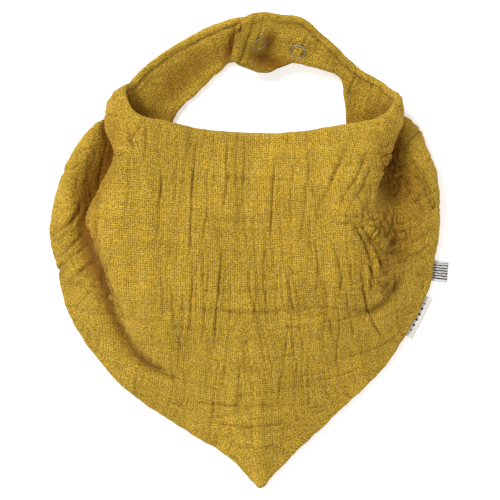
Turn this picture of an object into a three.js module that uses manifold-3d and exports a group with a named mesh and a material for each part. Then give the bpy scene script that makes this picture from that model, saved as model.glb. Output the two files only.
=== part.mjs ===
// Bandana bib of mustard double gauze, lying face up with its neck loop fastened.
//
// Millimetres. X is the bib's width, Y its length (neck loop at +Y, tip at -Y) and Z points up,
// away from the table it lies on. The origin is under the middle of the whole bib, at table level.
//
// The cloth is one band. It runs from the left strap over the left shoulder, across the front panel
// and over the right shoulder to the right strap. Each station of the band is a line that runs from
// the neck edge to the hem. Every layer of cloth is an offset of the surface through those stations.

import * as THREE from 'three';
import { mergeVertices } from 'three/addons/utils/BufferGeometryUtils.js';
import Module from 'manifold-3d';

const wasm = await Module();
wasm.setup();

// Driving dimensions.
const FACE_OFFSET = 1.5;            // middle surface of the cloth to its outside faces
const LAYER_GAP = 0.8;              // between the outer layer and the lining of the front panel
const STRAP_GAP = 1.1;              // between the strap's layers, where the snap patches lie
const PIECE_GAP = 0.3;              // between neighbouring pieces that touch
const PATCH_THICKNESS = 0.5;
const FRONT_STEPS = 50;             // quads along the front panel, shoulder to shoulder
const FRONT_ROWS = 13;              // quads from the neck edge to the hem
const STRAP_STEPS = 15;
const STRAP_ROWS = 6;
const STRAP_START = 0.024;          // share of a strap's length that clears the front panel
const STITCH_INSET = 0.14;          // share of the strap's width from the neck edge to the seam
const STITCH_WIDTH = 0.9;
const STITCH_THICKNESS = 0.5;

const SNAP_RADIUS = 4.75;           // ring snap, 9.5 mm across
const SNAP_BORE = 3.6;              // opening of the prong ring
const RING_HEIGHT = 1.0;
const SOCKET_HEIGHT = 2.2;
const SOCKET_BORE = 2.15;
const FLANGE_HEIGHT = 0.8;
const STUD_RADIUS = 1.8;
const STUD_LENGTH = 1.7;
const SNAP_RECESS = 0.95;           // pressed cloth under a snap, from the middle surface
const SNAP_SIDES = 18;

const LABEL_LENGTH = 26.6;
const LABEL_REACH = 5.2;
const TAG_WIDTH = 12.4;
const TAG_REACH = 7.8;
const RIBBON_THICKNESS = 0.6;
const RIBBON_FOLD = 0.36;           // inside radius of the ribbon's fold
const RIBBON_REST = RIBBON_FOLD + RIBBON_THICKNESS;   // middle of a folded ribbon on the table

// Smooth curve through control points, at parameter s counted in control points.
function splineAt(points, s) {
  const last = points.length - 1;
  const index = Math.min(Math.floor(s), last - 1);
  const t = s - index;
  const p1 = points[index];
  const p2 = points[index + 1];
  const p0 = points[Math.max(index - 1, 0)];
  const p3 = points[Math.min(index + 2, last)];
  return p1.map((value, axis) => {
    const enter = (p2[axis] - p0[axis]) / 2;
    const leave = (p3[axis] - value) / 2;
    const rise = value - p2[axis];
    return value + t * (enter + t * (-3 * rise - 2 * enter - leave + t * (2 * rise + enter + leave)));
  });
}

function mixPoints(a, b, share) {
  return a.map((value, axis) => value + (b[axis] - value) * share);
}

// A station of nine points that runs from neck to hem in one plain drape.
function draped(neck, chest, crest, hem) {
  const fall = [[0.34, 0.73], [0.58, 0.47], [0.79, 0.26], [0.93, 0.11], [0.98, 0.05]];
  const lower = fall.map(([share, height]) => {
    const point = mixPoints(crest, hem, share);
    point[2] = hem[2] + (crest[2] - hem[2]) * height;
    return point;
  });
  return [neck, chest, crest, ...lower, hem];
}

// A station across a strap, which sags a little between its raised neck edge and its hem.
function slung(neck, hem) {
  return [0, 0.1, 0.2, 0.3, 0.42, 0.54, 0.68, 0.84, 1].map((share) => {
    const point = mixPoints(neck, hem, share);
    point[2] = hem[2] + (neck[2] - hem[2]) * (1 - share) ** 2;
    return point;
  });
}

// Stations of the front panel from the left shoulder to the right one. A folded station has the
// points neck, chest, crest, tuck, valley, ridge, rim, underside and hem: the panel swells to a
// crest, tucks in under itself, comes out again as a low wing and folds under at the rim.
const FRONT_STATIONS = [
  slung([-69.6, 102, 10], [-43.2, 81.6, 1.5]),
  [[-73, 95, 21], [-77, 94.5, 21], [-80, 92.5, 17.5], [-80.5, 90, 13], [-78, 87, 9],
    [-73.5, 84.5, 6], [-67, 82, 4], [-57, 78.5, 1.2], [-45.6, 75.6, 1.5]],
  [[-72, 88.2, 28], [-78, 87, 28.5], [-83.5, 84, 24], [-85, 81, 17], [-83.5, 78.5, 11],
    [-84, 78, 6.5], [-77, 75, 4], [-60, 69.5, 1.2], [-47, 66, 1.5]],
  [[-68.4, 82.2, 31], [-77, 79, 33], [-84.5, 72.5, 29], [-79, 69.5, 19.5], [-83.5, 71, 9],
    [-91.2, 73.5, 11], [-93.2, 70.5, 6], [-84, 62, 1.2], [-51, 51, 1.5]],
  [[-63, 79, 32], [-70, 69, 36], [-78.5, 57.5, 32], [-73.5, 55, 21.5], [-80, 57, 10],
    [-96, 60.5, 15.5], [-106.5, 55, 8], [-97, 42, 1.2], [-60, 30, 1.5]],
  [[-57, 77.5, 32], [-66, 60, 38], [-86, 40, 32], [-80, 37, 21], [-87.5, 36, 10.5],
    [-105, 39, 16], [-116, 31, 8], [-108, 18, 1.2], [-81, 6, 1.5]],
  [[-49, 76, 32], [-63, 45, 39], [-95, 22, 29], [-92.5, 16, 20], [-98.5, 12, 12],
    [-109, 12, 14.5], [-117.4, 9, 7.5], [-115, -1, 1.2], [-101, -8, 1.5]],
  [[-45, 75, 31.8], [-60, 38, 39.5], [-91, 11, 31.5], [-92, 4.5, 22.5], [-98.5, -1, 13.5],
    [-106, -3, 12.8], [-114.5, -5, 7], [-114.2, -11, 1.2], [-108, -16.5, 1.5]],
  [[-40.5, 74, 31.5], [-57, 30, 40], [-82, 2, 33.5], [-88, -7.5, 24], [-94.5, -14, 14.5],
    [-101.5, -17.5, 11], [-108, -19.5, 6.5], [-111.4, -21, 3.8], [-113, -22.5, 1.5]],
  draped([-32, 72, 31], [-48, 18, 40], [-66, -18, 34], [-103.2, -47.9, 1.5]),
  draped([-23, 70.8, 30.5], [-32, 15, 39.5], [-44, -35, 33], [-77.2, -81, 1.5]),
  draped([-14, 69.8, 30], [-17, 15, 39], [-22, -43, 32], [-40.4, -107.6, 1.5]),
  draped([-5, 69.2, 29.7], [-5.5, 15, 38.5], [-7, -46, 31.5], [-15, -122.8, 1.5]),
  draped([-1.5, 69.1, 29.6], [-1.5, 15, 38.4], [-1.5, -46, 31.5], [1.6, -138.6, 1.5]),
  draped([2, 69, 29.5], [2.5, 15, 38.3], [4, -46, 31.5], [7.2, -144.2, 1.5]),
  draped([5.5, 69, 29.6], [6.5, 15, 38.4], [9, -46, 31.5], [12.8, -138.2, 1.5]),
  draped([9, 69, 29.7], [10.5, 15, 38.5], [14.5, -45, 31.5], [29.4, -120.8, 1.5]),
  draped([19, 69, 30], [22, 15, 39], [29, -40, 32], [54.4, -97.8, 1.5]),
  draped([30, 69.8, 30.5], [36, 16, 39.5], [48, -29, 33], [80.4, -72, 1.5]),
  draped([41, 71.5, 31], [50, 19, 40], [66, -10, 34], [103, -36, 1.5]),
  [[50.5, 73, 31.5], [60, 32, 40], [75, 9, 33], [82.5, 0, 23], [90.5, -5, 14.5],
    [99, -8, 10.5], [105.7, -9.5, 6.5], [109.2, -11, 3.8], [111, -12.5, 1.5]],
  [[55, 73.7, 31.7], [63, 41, 39.3], [70, 20, 34], [78, 12, 25], [88.7, 6.5, 14.2],
    [99.5, 6, 12], [110.4, 3, 7], [111.4, -4, 1.2], [106, -7.5, 1.5]],
  [[60, 74.4, 32], [66, 50, 38.5], [72, 31, 33], [77, 24, 24], [87, 18, 14],
    [101.5, 19, 14], [113, 15, 7.5], [108, 4, 1.2], [92, 0, 1.5]],
  [[68.5, 76, 32.3], [74, 64, 36.5], [80.5, 49, 31], [76, 44.5, 21], [83.5, 43, 10.5],
    [100, 46, 15.5], [111.9, 41, 8], [103, 28, 1.2], [73, 20, 1.5]],
  [[76, 77.5, 32], [81, 71, 34], [85.5, 62, 29], [81, 59, 19.5], [87, 60.5, 10],
    [97.5, 63, 13.5], [105.4, 61, 7.5], [96, 52, 1.2], [61, 44, 1.5]],
  [[84, 83.4, 30], [87.5, 81, 30.5], [90, 77.5, 25.5], [90.5, 75, 18], [91.5, 74, 12],
    [96.2, 76.5, 9.5], [98.2, 73, 6], [85, 67, 1.2], [58.5, 62, 1.5]],
  [[87, 91, 24], [89.3, 88.5, 22.5], [89.7, 85.5, 18], [88.8, 83, 13.5], [87, 81, 9.5],
    [83.5, 79, 6.5], [79, 77.5, 4.2], [70, 75.8, 1.2], [58.8, 75, 1.5]],
  slung([82.5, 98.5, 12], [57.6, 88, 1.5]),
];

// Stations of each strap from its shoulder to its fastened end, neck edge first. The straps stand
// up along their neck edge near the fastening and lie flat along the hem.
const LEFT_STRAP_STATIONS = [
  [[-69.6, 102, 10], [-63, 96.9, 6.5], [-56.4, 91.8, 4], [-49.8, 86.7, 1.2], [-43.2, 81.6, 1.5]],
  [[-60.6, 111.2, 8.5], [-54, 104.2, 5.5], [-48.5, 98.9, 3.5], [-43, 93.7, 2.4], [-37.2, 88.5, 1.5]],
  [[-47, 120.8, 8], [-41.2, 112.9, 5.5], [-37, 107.3, 3.5], [-32.8, 101.6, 2.4], [-28.5, 96, 1.5]],
  [[-29.4, 130.7, 9.5], [-26, 122.5, 7], [-24, 116.5, 4.6], [-22, 110.5, 1.2], [-19.8, 104.5, 1.5]],
  [[-11.5, 137.6, 15], [-11.2, 131.5, 12.8], [-11, 125, 8.6], [-11.2, 118.4, 4.5], [-11.5, 112, 1.5]],
  [[0, 138.6, 20], [-0.2, 132.6, 17.9], [-0.4, 126.6, 13.9], [0, 119.5, 8.8], [1, 112.4, 5]],
  [[10, 136.6, 18], [9.4, 132, 15.6], [8.8, 127, 12], [9, 120, 7], [10, 113.6, 3.6]],
  [[14.4, 131.6, 13.8], [14, 129, 12.4], [13.6, 126.2, 10.4], [13.7, 121.4, 7], [14.2, 117.5, 4.6]],
];
const RIGHT_STRAP_STATIONS = [
  [[82.5, 98.5, 12], [76.3, 95.9, 7.6], [70, 93.3, 4.5], [63.8, 90.6, 1.2], [57.6, 88, 1.5]],
  [[69.5, 106, 11], [66.2, 104, 8.6], [62.8, 102, 6.2], [59.5, 100, 4.4], [56.4, 98, 3.4]],
  [[60.5, 113, 12], [58.8, 110.6, 10.5], [57.2, 108.4, 8.6], [55.6, 106, 7], [53.8, 103.8, 6]],
  [[53, 120.8, 14], [50.4, 116.4, 12.6], [48.8, 113.2, 10.8], [47.2, 110.1, 9.2], [45.6, 107, 8]],
  [[43.4, 129.3, 17.5], [40.6, 123, 15.6], [39, 118.4, 13], [37.4, 113.7, 10.6], [36, 109.2, 9.6]],
  [[32.3, 138, 23], [30.4, 130.5, 20.4], [29.2, 123.8, 16.2], [28, 117.4, 12], [27, 111.6, 10.5]],
  [[19, 139.8, 25], [18.6, 132.4, 21.6], [18, 125, 16.4], [17.4, 117.4, 10.6], [17.6, 108.2, 9]],
  [[7, 141.2, 27.6], [6.6, 132.6, 24], [6, 123.5, 17.4], [6.4, 114.6, 11.2], [8.4, 105.4, 9.8]],
  [[-3.6, 137, 29.4], [-4, 131, 26.6], [-4.4, 124.2, 21.6], [-4.6, 116.6, 16.2], [-4.6, 108.8, 13.8]],
  [[-7.4, 130.6, 27.6], [-7.6, 127.2, 25.6], [-8, 122.8, 22.4], [-8.2, 118.4, 19.2], [-8.6, 113.4, 17.2]],
];

// Point of the middle surface, with along and across running from 0 to 1. Cloth that would sink
// into the table lies flat on it.
function surfacePoint(stations, along, across) {
  const rows = stations[0].length - 1;
  const line = stations.map((station) => splineAt(station, across * rows));
  const [x, y, z] = splineAt(line, along * (stations.length - 1));
  return new THREE.Vector3(x, y, Math.max(z, FACE_OFFSET));
}

// Unit normal of the middle surface. side is 1 or -1, and makes it point to the bib's right side,
// the outer gauze.
function surfaceNormal(stations, along, across, side) {
  const step = 0.01;
  const low = (value) => Math.max(value - step, 0);
  const high = (value) => Math.min(value + step, 1);
  const alongVector = surfacePoint(stations, high(along), across)
    .sub(surfacePoint(stations, low(along), across));
  const acrossVector = surfacePoint(stations, along, high(across))
    .sub(surfacePoint(stations, along, low(across)));
  return acrossVector.cross(alongVector).normalize().multiplyScalar(side);
}

// A closed layer of cloth between two offsets of the surface.
function layer({ stations, side, steps, rows, inner, outer, alongRange = [0, 1], acrossRange = [0, 1] }) {
  const positions = [];
  const indices = [];
  const vertex = (face, i, j) => face * (steps + 1) * (rows + 1) + i * (rows + 1) + j;
  for (const offset of [inner, outer]) {
    for (let i = 0; i <= steps; i++) {
      for (let j = 0; j <= rows; j++) {
        const along = THREE.MathUtils.lerp(...alongRange, i / steps);
        const across = THREE.MathUtils.lerp(...acrossRange, j / rows);
        const point = surfacePoint(stations, along, across);
        point.addScaledVector(surfaceNormal(stations, along, across, side), offset);
        positions.push(point.x, point.y, point.z);
      }
    }
  }
  const quad = (a, b, c, d) => {
    const corners = side > 0 ? [a, b, c, a, c, d] : [a, c, b, a, d, c];
    indices.push(...corners);
  };
  for (let i = 0; i < steps; i++) {
    for (let j = 0; j < rows; j++) {
      quad(vertex(1, i, j), vertex(1, i, j + 1), vertex(1, i + 1, j + 1), vertex(1, i + 1, j));
      quad(vertex(0, i, j), vertex(0, i + 1, j), vertex(0, i + 1, j + 1), vertex(0, i, j + 1));
    }
  }
  for (let i = 0; i < steps; i++) {
    quad(vertex(0, i, 0), vertex(1, i, 0), vertex(1, i + 1, 0), vertex(0, i + 1, 0));
    quad(vertex(0, i + 1, rows), vertex(1, i + 1, rows), vertex(1, i, rows), vertex(0, i, rows));
  }
  for (let j = 0; j < rows; j++) {
    quad(vertex(0, 0, j + 1), vertex(1, 0, j + 1), vertex(1, 0, j), vertex(0, 0, j));
    quad(vertex(0, steps, j), vertex(1, steps, j), vertex(1, steps, j + 1), vertex(0, steps, j + 1));
  }
  const geometry = new THREE.BufferGeometry();
  geometry.setAttribute('position', new THREE.Float32BufferAttribute(positions, 3));
  geometry.setIndex(indices);
  return geometry;
}

function toSolid(geometry) {
  const bare = geometry.clone();
  bare.deleteAttribute('normal');
  bare.deleteAttribute('uv');
  const merged = mergeVertices(bare, 1e-4);
  return new wasm.Manifold(new wasm.Mesh({
    numProp: 3,
    vertProperties: new Float32Array(merged.attributes.position.array),
    triVerts: new Uint32Array(merged.index.array),
  }));
}

function fromSolid(solid) {
  const mesh = solid.getMesh();
  const geometry = new THREE.BufferGeometry();
  geometry.setAttribute('position', new THREE.BufferAttribute(mesh.vertProperties, 3));
  geometry.setIndex(new THREE.BufferAttribute(mesh.triVerts, 1));
  return geometry;
}

// Materials.
const gauze = new THREE.MeshStandardMaterial({ color: 0xb08d33, roughness: 0.95, metalness: 0 });
const interfacing = new THREE.MeshStandardMaterial({ color: 0xe9e4d6, roughness: 0.9, metalness: 0 });
const thread = new THREE.MeshStandardMaterial({ color: 0xa58027, roughness: 0.8, metalness: 0 });
const steel = new THREE.MeshStandardMaterial({ color: 0xb9b6a8, roughness: 0.35, metalness: 1 });
const woven = new THREE.MeshStandardMaterial({ color: 0xf2efe6, roughness: 0.85, metalness: 0 });
const stripes = new THREE.MeshStandardMaterial({ color: 0x6d6a66, roughness: 0.85, metalness: 0 });

const bib = new THREE.Group();

function addPiece(name, geometry, material) {
  const mesh = new THREE.Mesh(geometry, material);
  mesh.name = name;
  bib.add(mesh);
  return mesh;
}

// Front panel: outer gauze and lining.
const FRONT = { stations: FRONT_STATIONS, side: 1, steps: FRONT_STEPS, rows: FRONT_ROWS };
const frontInside = LAYER_GAP / 2;
addPiece('front_outer', layer({ ...FRONT, inner: frontInside, outer: FACE_OFFSET }), gauze);
addPiece('front_lining', layer({ ...FRONT, inner: -FACE_OFFSET, outer: -frontInside }), gauze);

// Snaps. Each is set in a frame whose Z is the cloth's normal on the lining side. Snap one joins
// the straps, and snap two sits further along the right strap for a wider neck.
const LEFT = { stations: LEFT_STRAP_STATIONS, side: -1, steps: STRAP_STEPS, rows: STRAP_ROWS };
const RIGHT = { stations: RIGHT_STRAP_STATIONS, side: 1, steps: STRAP_STEPS, rows: STRAP_ROWS };
const SNAP_ONE_AT = [0.78, 0.5];
const SNAP_TWO_AT = [0.54, 0.68];

function snapFrame(strap, [along, across]) {
  const centre = surfacePoint(strap.stations, along, across);
  const up = surfaceNormal(strap.stations, along, across, -strap.side);
  const turn = new THREE.Quaternion().setFromUnitVectors(new THREE.Vector3(0, 0, 1), up);
  return new THREE.Matrix4().compose(centre, turn, new THREE.Vector3(1, 1, 1));
}

const snapOne = snapFrame(RIGHT, SNAP_ONE_AT);
const snapTwo = snapFrame(RIGHT, SNAP_TWO_AT);

// Heights along the axis of snap one, from the right strap's middle surface downwards.
const pressed = SNAP_RECESS + PIECE_GAP;
const flangeBottom = -pressed - FLANGE_HEIGHT;
const socketTop = flangeBottom - PIECE_GAP;
const socketBottom = socketTop - SOCKET_HEIGHT;
const leftMiddle = socketBottom - pressed;
const leftRingTop = leftMiddle - pressed;

// A round snap part from a closed half section of [radius, height] points.
function turned(section, frame) {
  const profile = [...section, section[0]].map(([radius, height]) => new THREE.Vector2(radius, height));
  const geometry = new THREE.LatheGeometry(profile, SNAP_SIDES);
  geometry.rotateX(Math.PI / 2);
  return fromSolid(toSolid(geometry)).applyMatrix4(frame);
}

function ringSection(bottom, top) {
  const edge = RING_HEIGHT * 0.3;
  return [
    [SNAP_BORE, bottom], [SNAP_RADIUS, bottom], [SNAP_RADIUS, top - edge],
    [SNAP_RADIUS - edge, top], [SNAP_BORE + edge, top], [SNAP_BORE, top - edge],
  ];
}

function flippedRingSection(bottom, top) {
  const middle = bottom + top;
  return ringSection(bottom, top).map(([radius, height]) => [radius, middle - height]).reverse();
}

function studSection() {
  const base = -pressed;
  const tip = flangeBottom - STUD_LENGTH;
  return [
    [0, tip], [STUD_RADIUS * 0.75, tip], [STUD_RADIUS, tip + 0.5], [STUD_RADIUS * 0.85, flangeBottom],
    [SNAP_RADIUS, flangeBottom], [SNAP_RADIUS, base], [0, base],
  ];
}

// The prong rings, on the side that touches the neck on the right strap.
addPiece('right_snap_ring_1', turned(ringSection(pressed, pressed + RING_HEIGHT), snapOne), steel);
addPiece('right_snap_ring_2', turned(ringSection(pressed, pressed + RING_HEIGHT), snapTwo), steel);
const leftRing = flippedRingSection(leftRingTop - RING_HEIGHT, leftRingTop);
addPiece('left_snap_ring', turned(leftRing, snapOne), steel);

// The studs of the right strap, and the socket of the left strap that holds the first of them.
addPiece('right_snap_stud_1', turned(studSection(), snapOne), steel);
addPiece('right_snap_stud_2', turned(studSection(), snapTwo), steel);
const socketSection = [
  [SOCKET_BORE, socketBottom], [SNAP_RADIUS, socketBottom], [SNAP_RADIUS, socketTop - 0.6],
  [SNAP_RADIUS - 0.9, socketTop], [SOCKET_BORE, socketTop],
];
addPiece('left_snap_socket', turned(socketSection, snapOne), steel);

// Space that a snap takes out of the cloth that it presses, above and below the middle surface.
function snapSpace(frame, middle) {
  const depth = 3;
  return [1, -1].map((face) => {
    const disc = new THREE.CylinderGeometry(SNAP_RADIUS + PIECE_GAP, SNAP_RADIUS + PIECE_GAP, depth, SNAP_SIDES);
    disc.rotateX(Math.PI / 2);
    disc.translate(0, 0, middle + face * (SNAP_RECESS + depth / 2));
    return toSolid(disc.applyMatrix4(frame));
  });
}

const rightSpaces = [...snapSpace(snapOne, 0), ...snapSpace(snapTwo, 0)];
const leftSpaces = snapSpace(snapOne, leftMiddle);

function strapLayer(strap, spaces, inner, outer) {
  let solid = toSolid(layer({ ...strap, inner, outer, alongRange: [STRAP_START, 1] }));
  for (const space of spaces) {
    solid = solid.subtract(space);
  }
  return fromSolid(solid);
}

const strapInside = STRAP_GAP / 2;
addPiece('left_strap_outer', strapLayer(LEFT, leftSpaces, strapInside, FACE_OFFSET), gauze);
addPiece('left_strap_lining', strapLayer(LEFT, leftSpaces, -FACE_OFFSET, -strapInside), gauze);
addPiece('right_strap_outer', strapLayer(RIGHT, rightSpaces, strapInside, FACE_OFFSET), gauze);
addPiece('right_strap_lining', strapLayer(RIGHT, rightSpaces, -FACE_OFFSET, -strapInside), gauze);

// Interfacing patches between the strap's layers, which the snap prongs grip. first and last count
// the strap's own quads from its shoulder.
function patch(strap, first, last) {
  const half = PATCH_THICKNESS / 2;
  const along = (step) => THREE.MathUtils.lerp(STRAP_START, 1, step / strap.steps);
  return layer({
    ...strap,
    steps: last - first,
    rows: strap.rows - 2,
    inner: -half,
    outer: half,
    alongRange: [along(first), along(last)],
    acrossRange: [1 / strap.rows, 1 - 1 / strap.rows],
  });
}

addPiece('left_snap_patch', patch(LEFT, 10, 14), interfacing);
addPiece('right_snap_patch', patch(RIGHT, 6, 14), interfacing);

// Seam thread along the neck edge, on the lining side.
function seam(strap, alongRange, steps) {
  const width = STITCH_WIDTH / 30;
  return layer({
    ...strap,
    steps,
    rows: 1,
    inner: -FACE_OFFSET - PIECE_GAP - STITCH_THICKNESS,
    outer: -FACE_OFFSET - PIECE_GAP,
    alongRange,
    acrossRange: [STITCH_INSET, STITCH_INSET + width],
  });
}

addPiece('left_strap_stitching', seam(LEFT, [0.03, 0.97], 20), thread);
addPiece('right_strap_stitching', seam(RIGHT, [0.03, 0.97], 20), thread);

// Label and loop tag, each a ribbon folded in two whose ends are caught in the right hem.
function foldedRibbon(width, reach) {
  const outline = new THREE.Shape();
  const inside = RIBBON_FOLD;
  const outside = RIBBON_REST;
  outline.moveTo(0, inside);
  outline.lineTo(reach - outside, inside);
  outline.absarc(reach - outside, 0, inside, Math.PI / 2, -Math.PI / 2, true);
  outline.lineTo(0, -inside);
  outline.lineTo(0, -outside);
  outline.lineTo(reach - outside, -outside);
  outline.absarc(reach - outside, 0, outside, -Math.PI / 2, Math.PI / 2, false);
  outline.lineTo(0, outside);
  const geometry = new THREE.ExtrudeGeometry(outline, { depth: width, bevelEnabled: false, curveSegments: 6 });
  geometry.translate(0, 0, -width / 2);
  geometry.rotateX(Math.PI / 2);
  return geometry;
}

function placeRibbon(name, geometry, material, [x, y, z], degrees) {
  const ribbon = addPiece(name, geometry, material);
  ribbon.position.set(x, y, z);
  ribbon.rotation.z = THREE.MathUtils.degToRad(degrees);
}

placeRibbon('loop_tag', foldedRibbon(TAG_WIDTH, TAG_REACH), stripes, [112.6, -13.4, RIBBON_REST], -5);
placeRibbon('woven_label', foldedRibbon(LABEL_LENGTH, LABEL_REACH), woven, [102.9, -41.3, RIBBON_REST], -27);

// The origin moves to the middle of the bib's outline.
bib.position.set(-0.84, 1.7, 0);

export default bib;
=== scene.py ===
"""A mustard double-gauze bandana bib, lying face up with its neck loop fastened.

Lengths in the tables are millimetres in the bib's own frame. Meshes are made in metres.
"""

import math

import bpy
import numpy as np
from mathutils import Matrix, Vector


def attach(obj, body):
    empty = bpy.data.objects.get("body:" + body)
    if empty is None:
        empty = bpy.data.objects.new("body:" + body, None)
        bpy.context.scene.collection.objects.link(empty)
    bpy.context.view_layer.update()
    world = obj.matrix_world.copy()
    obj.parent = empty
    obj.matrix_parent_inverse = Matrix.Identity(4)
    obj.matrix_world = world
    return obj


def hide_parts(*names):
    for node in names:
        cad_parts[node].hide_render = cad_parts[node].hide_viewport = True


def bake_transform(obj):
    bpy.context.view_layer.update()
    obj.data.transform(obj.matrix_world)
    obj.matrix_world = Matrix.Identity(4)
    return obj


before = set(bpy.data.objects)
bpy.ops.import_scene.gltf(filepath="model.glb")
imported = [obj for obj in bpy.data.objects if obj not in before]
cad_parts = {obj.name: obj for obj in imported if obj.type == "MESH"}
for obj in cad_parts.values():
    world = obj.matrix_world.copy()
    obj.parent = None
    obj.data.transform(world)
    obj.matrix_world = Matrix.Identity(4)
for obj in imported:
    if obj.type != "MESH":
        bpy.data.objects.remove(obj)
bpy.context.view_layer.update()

MM = 0.001
SHIFT = np.array([-0.84, 1.7, 0.0])     # puts the origin in the middle of the bib's outline

CLOTH_HALF = 1.35                        # half of the bib's thickness, two layers of double gauze
TABLE_GAP = 0.15                         # gap between the smooth cloth and the table
EDGE_ROUND = 1.7                         # the edges are rounded over this width
CELL = 0.75                              # size of the fine mesh's quads
SEAM_INSET = 4.6                         # the straps' seam runs this far inside the neck edge


# ---------------------------------------------------------------- camera, floor and light

def make_camera():
    """A long lens straight above the bib."""
    data = bpy.data.cameras.new("camera")
    camera = bpy.data.objects.new("camera", data)
    bpy.context.scene.collection.objects.link(camera)
    distance = 2.6
    cloth_height = 0.01
    picture_width = 0.3005                   # measured at the cloth's height
    data.sensor_width = 36
    data.lens = data.sensor_width * (distance - cloth_height) / picture_width
    data.clip_end = 20
    camera.location = (0, 0.0008, distance)
    bpy.context.scene.camera = camera


def make_floor():
    """A white table that glows a little, so that shadows on it stay faint."""
    bpy.ops.mesh.primitive_plane_add(size=6, location=(0, 0, -0.0004))
    floor = bpy.context.object
    floor.name = "floor"
    material = bpy.data.materials.new("pale_floor")
    material.use_nodes = True
    shader = material.node_tree.nodes["Principled BSDF"]
    shader.inputs["Base Color"].default_value = (0.93, 0.93, 0.93, 1)
    shader.inputs["Roughness"].default_value = 0.9
    shader.inputs["Emission Color"].default_value = (1, 1, 1, 1)
    shader.inputs["Emission Strength"].default_value = 0.42
    floor.data.materials.append(material)


def soft_sun(name, direction, strength, spread):
    """Even light from far away, with soft-edged shadows."""
    data = bpy.data.lights.new(name, "SUN")
    data.energy = strength
    data.angle = math.radians(spread)
    light = bpy.data.objects.new(name, data)
    bpy.context.scene.collection.objects.link(light)
    light.location = Vector(direction)
    light.rotation_euler = (-Vector(direction)).to_track_quat("-Z", "Y").to_euler()


def make_light():
    """Soft daylight from the upper left, with a weak fill from the lower right."""
    world = bpy.data.worlds.new("studio")
    bpy.context.scene.world = world
    world.use_nodes = True
    background = world.node_tree.nodes["Background"]
    background.inputs["Color"].default_value = (1, 1, 1, 1)
    background.inputs["Strength"].default_value = 0.5
    soft_sun("key", (-0.9, 0.82, 1.2), 2.5, 22)
    soft_sun("fill", (0.6, -0.9, 1.5), 0.55, 40)
    bpy.context.scene.view_settings.view_transform = "Standard"


# ---------------------------------------------------------------- the band of cloth

# The cloth is one band. It runs from the left strap's end over the left shoulder, across the front
# panel, and over the right shoulder to the right strap's end. Each station is a line of points from
# the neck edge to the hem. A folded station has the points neck, chest, crest, tuck, valley, ridge,
# rim, underside and hem: the panel swells to a crest, tucks in under itself, comes out again as a
# low wing and folds under at the rim.

POINTS = 9                               # points in a station
HEM = POINTS - 1                         # places across the band go from 0 at the neck edge to the hem
STRAP_SHARES = (0, 0.1, 0.2, 0.3, 0.42, 0.54, 0.68, 0.84, 1)    # where a strap's nine points lie
# A plain drape's points below the crest: share of the way to the hem, and share of the height left.
DRAPE_FALL = ((0.34, 0.73), (0.58, 0.47), (0.79, 0.26), (0.93, 0.11), (0.98, 0.05))


def draped(neck, chest, crest, hem):
    """A station that falls from the panel's crest to the hem in one plain drape."""
    crest, hem = np.array(crest, float), np.array(hem, float)
    lower = []
    for share, height in DRAPE_FALL:
        point = crest + (hem - crest) * share
        point[2] = hem[2] + (crest[2] - hem[2]) * height
        lower.append(point)
    return [neck, chest, crest, *lower, hem]


LEFT_STRAP = [
    [[14.4, 131.6, 13.8], [14, 129, 12.4], [13.6, 126.2, 10.4], [13.7, 121.4, 7], [14.2, 117.5, 4.6]],
    [[10, 136.6, 18], [9.4, 132, 15.6], [8.8, 127, 12], [9, 120, 7], [10, 113.6, 3.6]],
    [[0, 138.6, 20], [-0.2, 132.6, 17.9], [-0.4, 126.6, 13.9], [0, 119.5, 8.8], [1, 112.4, 5]],
    [[-11.5, 137.6, 15], [-11.2, 131.5, 12.8], [-11, 125, 8.6], [-11.2, 118.4, 4.5], [-11.5, 112, 2]],
    [[-29.4, 130.7, 9.5], [-26, 122.5, 7], [-24, 116.5, 4.6], [-22, 110.5, 2.4], [-19.8, 104.5, 1.6]],
    [[-47, 120.8, 8], [-41.2, 112.9, 5.5], [-37, 107.3, 3.5], [-32.8, 101.6, 2.4], [-28.5, 96, 1.6]],
    [[-60.6, 111.2, 8.5], [-54, 104.2, 5.5], [-48.5, 98.9, 3.5], [-43, 93.7, 2.4], [-37.2, 88.5, 1.6]],
    [[-69.6, 102, 10], [-63, 96.9, 6.5], [-56.4, 91.8, 4], [-49.8, 86.7, 2.2], [-43.2, 81.6, 1.6]],
]
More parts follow.
